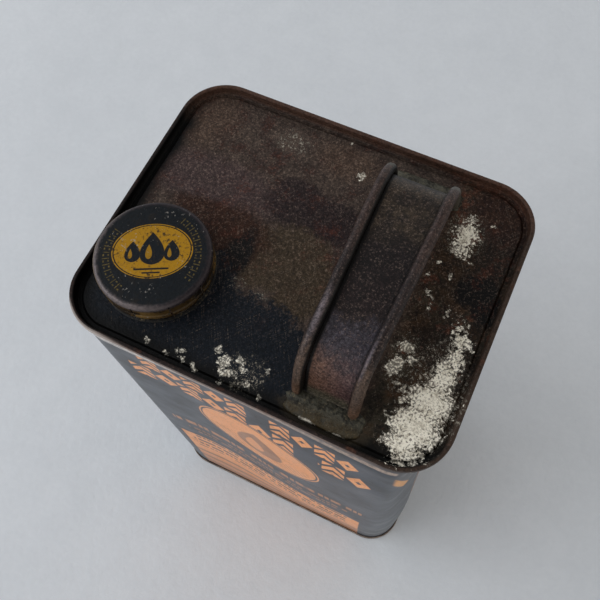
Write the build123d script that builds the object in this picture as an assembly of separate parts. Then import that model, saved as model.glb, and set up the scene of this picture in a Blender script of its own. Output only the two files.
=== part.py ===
from build123d import *
from math import acos, cos, tan
import os

# One-gallon oblong oil tin with a snap cap and a soldered strap handle.
# Millimetres, +Z up, origin on the floor under the middle of the can; the label side faces -Y.

# Can over its seams
LENGTH = 146.0
WIDTH = 115.7
HEIGHT = 254.0
CORNER_RADIUS = 18.1

# Tinplate and the play between its folded layers
PLATE = 0.30
PLAY = 0.04
LAYER = PLATE + PLAY

# Double seam that joins each end to the body, and the end's countersunk panel
SEAM_HEIGHT = 3.2
SEAM_TOP_RADIUS = 0.45
FOLD_RADIUS = 0.31
HOOK_LENGTH = 1.85
BODY_HOOK_EXTRA = 0.2
PANEL_DEPTH = 3.2
GROOVE_DEPTH = 4.35
GROOVE_START = 2.1
GROOVE_END = 3.7
GROOVE_FALL = 0.3
GROOVE_RISE = 0.7
GROOVE_RADIUS = 0.5
PANEL_RADIUS = 0.4
PANEL_EDGE = 7.0

# Lock seam down the middle of the left wall
LOCK_WIDTH = 5.0
LOCK_END = 7.0
LOCK_TUCK = 0.6
LOCK_STEP_START = 1.7
LOCK_STEP_END = 0.75
LOCK_STEP_RADIUS = 0.5
SIDE_SOLDER_START = 1.27
SIDE_SOLDER_WIDTH = 1.1
SIDE_SOLDER_DEPTH = 0.5

# Neck, from the top of the panel
CAP_X = -47.1
CAP_Y = -25.7
NECK_RADIUS = 18.2
NECK_HEIGHT = 9.2
NECK_FLANGE_RADIUS = 20.2
LIP_SIZE = 1.3
NECK_BEND_RADIUS = 0.6
NECK_SOLDER_WIDTH = 1.2
NECK_SOLDER_SLOPE = 0.3
NECK_SOLDER_CROWN = 0.2

# Snap cap
CAP_RADIUS = 21.4
CAP_HEIGHT = 8.2
CAP_SHOULDER = 1.6
SNAP_DEPTH = 0.65
SNAP_RISE = 2.0
SNAP_HALF = 0.9
SNAP_RADIUS = 0.6
SLIT_COUNT = 10
SLIT_WIDTH = 0.7
SLIT_TOP = 1.9
SLIT_TURN = -9.0
CORK_RADIUS = 19.9
CORK_THICKNESS = 1.95
CORK_EDGE_RADIUS = 1.3
FACING_THICKNESS = 0.2
LINER_PLAY = 0.05
SEAT_GAP = 0.1

# Strap handle, soldered to the panel at both feet
HANDLE_X = 29.4
HANDLE_Y = -2.3
HANDLE_WIDTH = 27.0
HANDLE_FOOT = 42.8
HANDLE_BEND = 37.6
HANDLE_RISE = 23.0
HANDLE_BEND_RADIUS = 12.0
STRAP_PLATE = 0.4
BEAD_RADIUS = 2.0
BEAD_CURL = 310.0
FOOT_TAB = 5.0
SOLDER_HEIGHT = 1.0
SOLDER_BACK = 0.8
FRONT_SOLDER_REACH = 8.0
REAR_SOLDER_REACH = 6.8
SOLDER_SIDE = 1.0
SOLDER_CORNER = 3.0
SOLDER_EDGE_RADIUS = 0.7

PANEL_TOP = HEIGHT - PANEL_DEPTH
CAP_TOP = PANEL_TOP + NECK_HEIGHT + SEAT_GAP + FACING_THICKNESS + CORK_THICKNESS + LINER_PLAY + PLATE


def layer_depth(number):
    """Depth of a seam layer's middle behind the seam's outer face; layer 0 is outermost."""
    return PLATE / 2 + number * LAYER


# ---------------------------------------------------------------- sheet-metal helpers

def rounded_run(points, radii):
    """Straight runs through the points, joined by tangent arcs."""
    points = [Vector(*point) for point in points]
    edges, start = [], points[0]
    for before, corner, after, radius in zip(points, points[1:], points[2:], radii):
        to_before = (before - corner).normalized()
        to_after = (after - corner).normalized()
        half = acos(to_before.dot(to_after)) / 2
        reach = radius / tan(half)
        first, last = corner + to_before * reach, corner + to_after * reach
        middle = corner + (to_before + to_after).normalized() * (reach / cos(half) - radius)
        edges += Line(start, first).edges() + ThreePointArc(first, middle, last).edges()
        start = last
    return edges + Line(start, points[-1]).edges()


def shifted(points, distance):
    """The same run of points, moved sideways to its left by a distance."""
    steps = [(b - a).normalized() for a, b in zip(points, points[1:])]
    normals = [Vector(-step.Y, step.X) for step in steps]
    moved = []
    for point, a, b in zip(points, normals[:1] + normals, normals + normals[-1:]):
        moved.append(point + (a + b) * (distance / (1 + a.dot(b))))
    return moved


def plate_section(points, radii, thickness=PLATE):
    """Cut face of sheet metal whose middle line runs through the points."""
    points = [Vector(*point) for point in points]
    turns = [1 if (b - a).cross(c - b).Z > 0 else -1 for a, b, c in zip(points, points[1:], points[2:])]
    half = thickness / 2
    left = rounded_run(shifted(points, half), [r - turn * half for r, turn in zip(radii, turns)])
    right = rounded_run(shifted(points, -half), [r + turn * half for r, turn in zip(radii, turns)])
    ends = Line(left[0] @ 0, right[0] @ 0).edges() + Line(left[-1] @ 1, right[-1] @ 1).edges()
    return make_face(left + right + ends)


def corner_points(depth):
    """Corners of the can's plan outline, at a depth behind the seam's outer face."""
    x, y = LENGTH / 2 - depth, WIDTH / 2 - depth
    return [(x, y), (-x, y), (-x, -y), (x, -y)]


def seam_path():
    """Closed plan outline of the can, starting in the middle of its right side."""
    start = (LENGTH / 2, 0)
    return Wire(rounded_run([start, *corner_points(0), start], [CORNER_RADIUS] * 4))


def round_the_can(face, at_top):
    """Carry a section round the outline: its x runs inwards, its y runs out of the can."""
    up = 1 if at_top else -1
    level = HEIGHT if at_top else 0
    place = Plane(origin=(LENGTH / 2, 0, level), x_dir=(-1, 0, 0), z_dir=(0, up, 0))
    return sweep(place * face, path=Pos(0, 0, level) * seam_path())


def plan_plate(depth, low, thickness):
    """Flat plate with the can's outline, at a depth behind the seam's outer face."""
    outline = RectangleRounded(LENGTH - 2 * depth, WIDTH - 2 * depth, CORNER_RADIUS - depth)
    return Pos(0, 0, low) * extrude(outline, thickness)


def turned(points, radii, x, y, z):
    """Sheet metal spun about an upright axis; the points are (radius, height)."""
    face = Plane.XZ * plate_section(points, radii)
    return Pos(x, y, z) * revolve(face, Axis.Z)


# ---------------------------------------------------------------- body and ends

def lock_seam_points():
    """Plan middle line of the body sheet, from one hooked edge round to the other."""
    wall = layer_depth(3)
    left = -LENGTH / 2 + wall
    half = LOCK_WIDTH / 2
    start = [(left + 2 * LAYER, half - LOCK_TUCK), (left + 2 * LAYER, -half), (left, -half)]
    end = [(left, -half - LOCK_STEP_START), (left + 3 * LAYER, -half - LOCK_STEP_END),
           (left + 3 * LAYER, half), (left + LAYER, half), (left + LAYER, -half + LOCK_TUCK)]
    top_left, others = corner_points(wall)[1], corner_points(wall)
    return start + [top_left, others[0], others[3], others[2]] + end


def wall_hook(at_top):
    """Ring of body wall beside one end, with the hook that the end folds round."""
    hook_top = -layer_depth(1)
    section = plate_section(
        [(layer_depth(3), -LOCK_END), (layer_depth(3), hook_top),
         (layer_depth(1), hook_top), (layer_depth(1), hook_top - HOOK_LENGTH - BODY_HOOK_EXTRA)],
        [FOLD_RADIUS] * 2)
    return round_the_can(section, at_top)


def make_body_sheet():
    corner = CORNER_RADIUS - layer_depth(3)
    radii = [FOLD_RADIUS] * 2 + [corner] * 4 + [LOCK_STEP_RADIUS] * 2 + [FOLD_RADIUS] * 2
    wall = extrude(plate_section(lock_seam_points(), radii), HEIGHT - 2 * LOCK_END)
    return wall_hook(True) + Pos(0, 0, LOCK_END) * wall + wall_hook(False)


def make_side_seam_solder(body_sheet):
    """Solder that fills the outside groove of the lock seam."""
    left = -LENGTH / 2 + layer_depth(3) - PLATE / 2
    groove = Box(SIDE_SOLDER_DEPTH, SIDE_SOLDER_WIDTH, HEIGHT - 2 * LOCK_END, align=(Align.MIN,) * 3)
    filled = Pos(left, -LOCK_WIDTH / 2 - SIDE_SOLDER_START, LOCK_END) * groove - body_sheet
    return max(filled.solids(), key=lambda solid: solid.volume)


def make_end(at_top):
    """One end: the hook and walls of its double seam, its countersink and its panel."""
    outer_top = -PLATE / 2
    fold_bottom = -SEAM_HEIGHT + PLATE / 2
    groove = -GROOVE_DEPTH + PLATE / 2
    panel = -PANEL_DEPTH - PLATE / 2
    points = [(layer_depth(2), fold_bottom + HOOK_LENGTH), (layer_depth(2), fold_bottom),
              (layer_depth(0), fold_bottom), (layer_depth(0), outer_top),
              (layer_depth(4), outer_top), (layer_depth(4), -PANEL_DEPTH + GROOVE_FALL),
              (GROOVE_START, groove), (GROOVE_END, groove),
              (GROOVE_END + GROOVE_RISE, panel), (PANEL_EDGE, panel)]
    radii = [FOLD_RADIUS] * 2 + [SEAM_TOP_RADIUS] * 2 + [GROOVE_RADIUS] * 2 + [PANEL_RADIUS] * 2
    low = HEIGHT - PANEL_DEPTH - PLATE if at_top else PANEL_DEPTH
    return round_the_can(plate_section(points, radii), at_top) + plan_plate(PANEL_EDGE, low, PLATE)


def make_top_panel():
    """The top end, pierced for the neck."""
    hole = Pos(CAP_X, CAP_Y, PANEL_TOP) * Cylinder(NECK_RADIUS - PLATE / 2, 4 * PLATE)
    return make_end(True) - hole


def make_seam_compound(at_top):
    """Sealing compound in the space above an end's hook."""
    low = -SEAM_HEIGHT + PLATE / 2 + HOOK_LENGTH + PLAY
    high = -layer_depth(1) - FOLD_RADIUS
    bead = Pos(layer_depth(2), (low + high) / 2) * Rectangle(PLATE, high - low)
    return round_the_can(bead, at_top)


# ---------------------------------------------------------------- neck and cap

def make_neck():
    """Drawn neck: flange on the panel, wall, and a lip rolled outwards."""
    flange = PLATE / 2
    lip = NECK_HEIGHT - PLATE / 2
    points = [(NECK_FLANGE_RADIUS, flange), (NECK_RADIUS, flange), (NECK_RADIUS, lip),
              (NECK_RADIUS + LIP_SIZE, lip), (NECK_RADIUS + LIP_SIZE, lip - LIP_SIZE),
              (NECK_RADIUS + LIP_SIZE / 2, lip - LIP_SIZE)]
    return turned(points, [NECK_BEND_RADIUS] * 4, CAP_X, CAP_Y, PANEL_TOP)


def make_neck_solder():
    """Solder fillet round the outside of the neck's flange."""
    inner, outer = NECK_FLANGE_RADIUS, NECK_FLANGE_RADIUS + NECK_SOLDER_WIDTH
    bead = make_face(Polyline((inner, 0), (outer, 0), (outer - NECK_SOLDER_SLOPE, PLATE / 2),
                              (inner + NECK_SOLDER_CROWN, PLATE), (inner, PLATE), (inner, 0)))
    return Pos(CAP_X, CAP_Y, PANEL_TOP) * revolve(Plane.XZ * bead, Axis.Z)


def make_cap_shell():
    """Snap cap: a shallow drawn cup whose skirt is slit into springy fingers."""
    side = CAP_RADIUS - PLATE / 2
    snap = -CAP_HEIGHT + SNAP_RISE
    points = [(0, -PLATE / 2), (side, -PLATE / 2), (side, snap + SNAP_HALF), (side - SNAP_DEPTH, snap),
              (side, snap - SNAP_HALF), (side, -CAP_HEIGHT)]
    radii = [CAP_SHOULDER - PLATE / 2] + [SNAP_RADIUS] * 3
    shell = turned(points, radii, 0, 0, 0)
    slit = Box(CAP_RADIUS, SLIT_WIDTH, CAP_HEIGHT, align=(Align.MIN, Align.CENTER, Align.MAX))
    for number in range(SLIT_COUNT):
        shell -= Rot(0, 0, SLIT_TURN + number * 360 / SLIT_COUNT) * Pos(CAP_RADIUS / 2, 0, -SLIT_TOP) * slit
    return Pos(CAP_X, CAP_Y, CAP_TOP) * shell


def make_cap_cork():
    disc = Cylinder(CORK_RADIUS, CORK_THICKNESS, align=(Align.CENTER, Align.CENTER, Align.MAX))
    disc = fillet(disc.edges().sort_by(Axis.Z)[-1], CORK_EDGE_RADIUS)
    return Pos(CAP_X, CAP_Y, CAP_TOP - PLATE - LINER_PLAY) * disc


def make_cap_facing():
    """Thin foil disc on the cork, which meets the neck's lip."""
    disc = Cylinder(CORK_RADIUS, FACING_THICKNESS, align=(Align.CENTER, Align.CENTER, Align.MAX))
    return Pos(CAP_X, CAP_Y, CAP_TOP - PLATE - LINER_PLAY - CORK_THICKNESS) * disc


# ---------------------------------------------------------------- handle

def strap_section():
    """Strap's cut face: a flat web between two edges curled up into tubes."""
    inner = BEAD_RADIUS - STRAP_PLATE
    middle = HANDLE_WIDTH / 2 - BEAD_RADIUS
    lift = BEAD_RADIUS - STRAP_PLATE / 2
    half = []
    for radius in (BEAD_RADIUS, inner):
        half.append(CenterArc((middle, lift), radius, -90, BEAD_CURL).edges()[0])
    tip = Line(half[0] @ 1, half[1] @ 1).edges()
    right = half + list(tip)
    left = [edge.mirror(Plane.YZ) for edge in right]
    webs = Line((-middle, STRAP_PLATE / 2), (middle, STRAP_PLATE / 2)).edges()
    webs += Line((-middle, -STRAP_PLATE / 2), (middle, -STRAP_PLATE / 2)).edges()
    return make_face([*right, *left, *webs])


def make_handle_strap():
    """Arched strap with rolled edges, and a flat tab at each foot."""
    arch = Plane(origin=(HANDLE_X, HANDLE_Y, PANEL_TOP), x_dir=(0, 1, 0), z_dir=(1, 0, 0))
    foot, bend = Vector(-HANDLE_FOOT, 0), Vector(-HANDLE_BEND, HANDLE_RISE)
    up_leg = (bend - foot).normalized()
    below = foot - up_leg * 2 * BEAD_RADIUS
    run = [below, bend, (-bend.X, bend.Y), (-below.X, below.Y)]
    path = arch * Wire(rounded_run(run, [HANDLE_BEND_RADIUS] * 2))
    start = Plane(origin=path @ 0, x_dir=(-1, 0, 0), z_dir=path % 0)
    strap = sweep(start * strap_section(), path=path)
    downwards = (Align.CENTER, Align.CENTER, Align.MAX)
    inside_can = Box(2 * HANDLE_WIDTH, 3 * HANDLE_FOOT, HANDLE_RISE, align=downwards)
    strap -= Pos(HANDLE_X, HANDLE_Y, PANEL_TOP) * inside_can
    web = HANDLE_WIDTH - 4 * BEAD_RADIUS
    tab = Box(web, FOOT_TAB, STRAP_PLATE, align=(Align.CENTER, Align.MAX, Align.MIN))
    front_tab = Pos(HANDLE_X, HANDLE_Y - HANDLE_FOOT, PANEL_TOP) * tab
    return strap + front_tab + front_tab.mirror(Plane(origin=(0, HANDLE_Y, 0), z_dir=(0, 1, 0)))


def make_handle_solder(side, reach, handle):
    """Low puddle of solder over a foot of the handle; side is -1 in front and 1 behind."""
    low, high = HANDLE_FOOT - SOLDER_BACK, HANDLE_FOOT + reach
    outline = RectangleRounded(HANDLE_WIDTH + 2 * SOLDER_SIDE, high - low, SOLDER_CORNER)
    puddle = extrude(outline, SOLDER_HEIGHT)
    puddle = fillet(puddle.edges().group_by(Axis.Z)[-1], SOLDER_EDGE_RADIUS)
    placed = Pos(HANDLE_X, HANDLE_Y + side * (low + high) / 2, PANEL_TOP) * puddle - handle
    return max(placed.solids(), key=lambda solid: solid.volume)


# ---------------------------------------------------------------- parts

def main():
    body_sheet = make_body_sheet()
    handle_strap = make_handle_strap()
    nodes = {
        "body_sheet": body_sheet,
        "side_seam_solder": make_side_seam_solder(body_sheet),
        "top_panel": make_top_panel(),
        "bottom_panel": make_end(False),
        "top_seam_compound": make_seam_compound(True),
        "bottom_seam_compound": make_seam_compound(False),
        "neck": make_neck(),
        "neck_solder": make_neck_solder(),
        "cap_shell": make_cap_shell(),
        "cap_cork": make_cap_cork(),
        "cap_cork_facing": make_cap_facing(),
        "handle_strap": handle_strap,
        "handle_front_solder": make_handle_solder(-1, FRONT_SOLDER_REACH, handle_strap),
        "handle_rear_solder": make_handle_solder(1, REAR_SOLDER_REACH, handle_strap),
    }
    os.makedirs("parts", exist_ok=True)
    for name, shape in nodes.items():
        export_step(shape, f"parts/{name}.step")


main()
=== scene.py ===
import math

import bpy
from mathutils import Matrix, Vector, noise


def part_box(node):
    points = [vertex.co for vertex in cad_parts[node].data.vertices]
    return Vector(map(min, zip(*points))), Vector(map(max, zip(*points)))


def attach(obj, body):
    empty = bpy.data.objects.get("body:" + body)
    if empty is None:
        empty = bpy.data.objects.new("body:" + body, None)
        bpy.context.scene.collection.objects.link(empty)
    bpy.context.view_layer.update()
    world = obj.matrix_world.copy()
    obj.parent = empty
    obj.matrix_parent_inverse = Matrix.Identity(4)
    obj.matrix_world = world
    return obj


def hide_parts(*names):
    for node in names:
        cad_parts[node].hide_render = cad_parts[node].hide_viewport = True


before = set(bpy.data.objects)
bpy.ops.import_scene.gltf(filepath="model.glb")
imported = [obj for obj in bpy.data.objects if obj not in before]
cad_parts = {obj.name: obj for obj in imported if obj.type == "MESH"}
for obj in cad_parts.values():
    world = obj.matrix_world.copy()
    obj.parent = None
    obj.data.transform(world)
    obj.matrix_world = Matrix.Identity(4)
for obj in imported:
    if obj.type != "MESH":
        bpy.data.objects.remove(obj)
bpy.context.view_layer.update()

# Places and sizes on the can are millimetres in its own frame until a mesh is made, which is in metres.
METRE = 1000.0


def box_mm(node):
    low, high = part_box(node)
    return low * METRE, high * METRE


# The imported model's own sizes, which everything below is placed from
TOP_LOW, TOP_HIGH = box_mm("top_panel")
CAP_LOW, CAP_HIGH = box_mm("cap_shell")
STRAP_LOW, STRAP_HIGH = box_mm("handle_strap")
SOLDER_LOW = box_mm("handle_front_solder")[0]
LENGTH = TOP_HIGH.x - TOP_LOW.x
WIDTH = TOP_HIGH.y - TOP_LOW.y
HEIGHT = TOP_HIGH.z
PANEL = STRAP_LOW.z
CAP_X, CAP_Y = (CAP_LOW.x + CAP_HIGH.x) / 2, (CAP_LOW.y + CAP_HIGH.y) / 2
CAP_TOP = CAP_HIGH.z
CAP_RADIUS = (CAP_HIGH.x - CAP_LOW.x) / 2
HANDLE_X, HANDLE_Y = (STRAP_LOW.x + STRAP_HIGH.x) / 2, (STRAP_LOW.y + STRAP_HIGH.y) / 2

# Sizes that no box tells: the corners in plan, the body wall's plate, how far inside the seams it
# stands, and the turn and pitch in degrees of the cap's slits
CORNER_RADIUS = 18.1
PLATE = 0.3
WALL_DEPTH = 1.02
SLIT_TURN, SLIT_PITCH = -9.0, 36.0

# Camera: where it stands in can lengths, how it is turned, and its lens
CAMERA_PLACE = (0.3985, -0.6958, 3.3924)
CAMERA_AZIMUTH, CAMERA_ELEVATION, CAMERA_ROLL = 28.79, 65.57, -3.99
CAMERA_LENS = 44.28
CAMERA_SHIFT = (-0.0195, -0.0457)

# Soft key light and floor, in metres, and the surround
KEY_PLACE, KEY_AIM = (-1.0, -0.5, 1.3), (0, 0, 0.1)
KEY_SIZE, KEY_POWER, KEY_COLOUR = 1.4, 10, (0.97, 0.98, 1.0)
FLOOR_HALF = 3.0
FLOOR_PALE, FLOOR_DULL = (0.68, 0.71, 0.75), (0.60, 0.63, 0.67)
SKY_LEFT, SKY_RIGHT = (1.03, 1.07, 1.11), (1.0, 0.96, 0.90)
SKY_SIDES, SKY_OVERHEAD = 0.9, 0.16

# Label: the print's slope in degrees, and its heights above the floor at the middle of the front wall
PRINT_SLOPE = 2.5
ROW_ONE, ROW_ONE_TALL = 227.0, 13.0
ROW_TWO, ROW_TWO_TALL = 208.5, 15.5
MEDAL_X, MEDAL_Z, MEDAL_HALF_X, MEDAL_HALF_Z = 3.0, 181.0, 29.2, 33.0
LINE_Z = 130.0
PANEL_LOW, PANEL_HIGH = 4.0, 99.0
PANEL_RULES = 0.1
BORDER_LOW, BORDER_HIGH = 244.2, 246.4

# Printed frame and rows of marks on the other three walls
FRAME_LOW, FRAME_HIGH, FRAME_LINE = 30.0, 226.0, 1.4
ROWS_LOW, ROWS_HIGH = 58.0, 196.0
ROWS_PER_MM = 0.12
SIDE_MARGIN, REAR_MARGIN = 24, 26

# How far the body wall stands off flat, outwards except at the dented corner
FRONT_DENT, FRONT_SHELF, FRONT_BULGE, CORNER_DENT = -0.9, 1.6, 3.6, 4.6

# Handle: its side view, its plate and the beads rolled along its edges
HANDLE_FOOT, HANDLE_BEND, HANDLE_BEND_RADIUS = 42.8, 37.6, 12.0
HANDLE_LOW = 0.6
TAB_STATIONS, TAB_LIFT = (48.6, 46.8, 45.2), 0.25
STRAP_PLATE, BEAD_RADIUS, BEAD_CURL = 0.4, 2.0, 310
BEAD_FRONT, BEAD_REAR = 10.25, 12.2
TAPER_FRONT, TAPER_REAR = -48, 44
RIPPLE, WOBBLE = 0.16, 0.18


def add_camera():
    data = bpy.data.cameras.new("camera")
    data.sensor_width = 36
    data.lens = CAMERA_LENS
    data.shift_x, data.shift_y = CAMERA_SHIFT
    data.clip_start, data.clip_end = 0.01, 20
    camera = bpy.data.objects.new("camera", data)
    a, e, r = (math.radians(v) for v in (CAMERA_AZIMUTH, CAMERA_ELEVATION, CAMERA_ROLL))
    back = Vector((math.sin(a) * math.cos(e), -math.cos(a) * math.cos(e), math.sin(e)))
    right = Vector((math.cos(a), math.sin(a), 0))
    up = back.cross(right)
    turned = (right * math.cos(r) + up * math.sin(r), up * math.cos(r) - right * math.sin(r), back)
    place = Vector(CAMERA_PLACE) * LENGTH / METRE
    camera.matrix_world = Matrix.Translation(place) @ Matrix(turned).transposed().to_4x4()
    bpy.context.collection.objects.link(camera)
    bpy.context.scene.camera = camera


def add_light(name, place, aim, size, power, colour):
    data = bpy.data.lights.new(name, "AREA")
    data.shape = "DISK"
    data.size, data.energy, data.color = size, power, colour
    light = bpy.data.objects.new(name, data)
    light.location = place
    light.rotation_euler = (Vector(aim) - Vector(place)).to_track_quat("-Z", "Y").to_euler()
    bpy.context.collection.objects.link(light)


# ---------------------------------------------------------------- materials as arithmetic

def tone(red, green, blue):
    """Linear colour of an everyday 0 to 255 one."""
    def linear(v):
        v /= 255
        return v / 12.92 if v <= 0.04045 else ((v + 0.055) / 1.055) ** 2.4
    return linear(red), linear(green), linear(blue)


class Value:
    """A quantity that varies over a surface, combined with ordinary arithmetic."""

    def __init__(self, tree, socket):
        self.tree, self.socket = tree, socket

    def calc(self, operation, *others):
        return calculate(self.tree, "ShaderNodeMath", operation, self, *others)

    def __add__(self, other):
        return self.calc("ADD", other)

    def __sub__(self, other):
        return self.calc("SUBTRACT", other)

    def __mul__(self, other):
        return self.calc("MULTIPLY", other)

    def __truediv__(self, other):
        return self.calc("DIVIDE", other)

    def __rsub__(self, other):
        return calculate(self.tree, "ShaderNodeMath", "SUBTRACT", other, self)

    __radd__ = __add__
    __rmul__ = __mul__

    def __abs__(self):
        return self.calc("ABSOLUTE")

    def least(self, other):
        return self.calc("MINIMUM", other)

    def most(self, other):
        return self.calc("MAXIMUM", other)

    def fraction(self):
        return self.calc("FRACT")

    def root(self):
        return self.calc("SQRT")

    def step(self, low, high):
        """0 where the value is at low, 1 where it is at high, and smooth between; low may be above high."""
        node = self.tree.nodes.new("ShaderNodeMapRange")
        node.interpolation_type = "SMOOTHSTEP"
        for name, value in (("Value", self), ("From Min", low), ("From Max", high)):
            wire(self.tree, node.inputs[name], value)
        return Value(self.tree, node.outputs["Result"])

    def between(self, low, high, soft):
        return self.step(low - soft, low + soft) * self.step(high + soft, high - soft)


def wire(tree, socket, value):
    if isinstance(value, Value):
        tree.links.new(value.socket, socket)
    elif socket.type == "RGBA":
        socket.default_value = (*value, 1)
    else:
        socket.default_value = value


def calculate(tree, kind, operation, *values):
    node = tree.nodes.new(kind)
    node.operation = operation
    for socket, value in zip(node.inputs, values):
        wire(tree, socket, value)
    output = "Value" if operation in ("LENGTH", "DOT_PRODUCT") or kind == "ShaderNodeMath" else "Vector"
    return Value(tree, node.outputs[output])


class Skin:
    """One procedural material, whose places are millimetres in the can's frame."""

    def __init__(self, name, specular=0.5):
        self.material = bpy.data.materials.new(name)
        self.material.use_nodes = True
        self.tree = self.material.node_tree
        self.shader = self.tree.nodes["Principled BSDF"]
        self.shader.inputs["Specular IOR Level"].default_value = specular
        place = self.tree.nodes.new("ShaderNodeTexCoord").outputs["Object"]
        self.place = self.vector("SCALE", Value(self.tree, place))
        self.place.socket.node.inputs["Scale"].default_value = METRE
        axes = self.tree.nodes.new("ShaderNodeSeparateXYZ")
        wire(self.tree, axes.inputs[0], self.place)
        self.x, self.y, self.z = (Value(self.tree, output) for output in axes.outputs)

    def vector(self, operation, *values):
        return calculate(self.tree, "ShaderNodeVectorMath", operation, *values)

    def along(self, centre, degrees, unit=1.0):
        """How far a place lies from a centre in one level direction, in units of a length."""
        a = math.radians(degrees)
        return self.vector("DOT_PRODUCT", self.vector("SUBTRACT", self.place, (*centre, 0)),
                           (math.cos(a) / unit, math.sin(a) / unit, 0))

    def oval(self, x, y, half_x, half_y, turn=0, place=None):
        """Distance from an oval's middle, 1 on its outline; the oval is an upright column."""
        if turn:
            across, up = self.along((x, y), turn, half_x), self.along((x, y), turn + 90, half_y)
            return (across * across + up * up).root()
        scale, shift = (1 / half_x, 1 / half_y, 0), (-x / half_x, -y / half_y, 0)
        return self.vector("LENGTH", self.vector("MULTIPLY_ADD", place or self.place, scale, shift))

    def stretched(self, scale, turn=0):
        """Place scaled along level axes that are turned first."""
        place = self.place
        if turn:
            node = self.tree.nodes.new("ShaderNodeVectorRotate")
            node.rotation_type = "Z_AXIS"
            wire(self.tree, node.inputs["Vector"], place)
            node.inputs["Angle"].default_value = -math.radians(turn)
            place = Value(self.tree, node.outputs[0])
        return self.vector("MULTIPLY", place, scale)

    def noise(self, size, detail=3, seed=0.0, stretch=(1, 1, 1), turn=0, rough=0.55):
        """Random clouds whose features are about size across, mostly between -1 and 1."""
        node = self.tree.nodes.new("ShaderNodeTexNoise")
        node.noise_dimensions = "4D"
        wire(self.tree, node.inputs["Vector"], self.stretched([1 / (size * s) for s in stretch], turn))
        for name, value in (("W", seed), ("Scale", 1), ("Detail", detail), ("Roughness", rough)):
            node.inputs[name].default_value = value
        return Value(self.tree, node.outputs[0]).calc("MULTIPLY_ADD", 4.6, -2.3)

    def near(self, *ovals):
        """Distance to the nearest of some ovals, 1 on its outline: (x, y, half x, half y, turn)."""
        found = None
        for oval in ovals:
            distance = self.oval(*oval)
            found = found.least(distance) if found else distance
        return found

    def apart(self, *ovals):
        """The same in about millimetres outside the outline, negative inside it."""
        found = None
        for x, y, half_x, half_y, *turn in ovals:
            size = min(half_x, half_y)
            distance = self.near((x, y, half_x, half_y, *turn)).calc("MULTIPLY_ADD", size, -size)
            found = found.least(distance) if found else distance
        return found

    def mix(self, below, above, factor):
        node = self.tree.nodes.new("ShaderNodeMix")
        node.data_type = "RGBA"
        wire(self.tree, node.inputs[0], factor)
        wire(self.tree, node.inputs[6], below)
        wire(self.tree, node.inputs[7], above)
        return Value(self.tree, node.outputs[2])

    def layers(self, colour, *coats):
        """Colour with coats over it, each (colour, how much of it)."""
        for coat, factor in coats:
            colour = self.mix(colour, coat, factor)
        return colour

    def finish(self, colour, roughness, metallic=0.0, height=None, relief=0.1):
        """Set what the shader needs; height 1 stands relief millimetres proud."""
        for name, value in (("Base Color", colour), ("Roughness", roughness), ("Metallic", metallic)):
            wire(self.tree, self.shader.inputs[name], value)
        if height:
            bump = self.tree.nodes.new("ShaderNodeBump")
            bump.inputs["Distance"].default_value = relief / METRE
            wire(self.tree, bump.inputs["Height"], height)
            self.tree.links.new(bump.outputs[0], self.shader.inputs["Normal"])
        return self.material


def inset(skin):
    """Distance in from the can's outline in plan."""
    straight = (LENGTH / 2 - CORNER_RADIUS, WIDTH / 2 - CORNER_RADIUS, 0)
    plan = skin.vector("MULTIPLY", skin.vector("ABSOLUTE", skin.place), (1, 1, 0))
    past = skin.vector("MAXIMUM", skin.vector("SUBTRACT", plan, straight), (0, 0, 0))
    return CORNER_RADIUS - skin.vector("LENGTH", past)


def drop(across, up, height, width):
    """Mask of an oil drop with its tip at up = height and its foot at up = 0."""
    down = (1 - up / height).most(0).least(1)
    half = down * (1 - down).root() * (width * 1.3)
    return (abs(across) - half).step(-0.005 * height, -0.035 * height)


# ---------------------------------------------------------------- the can's materials

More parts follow.
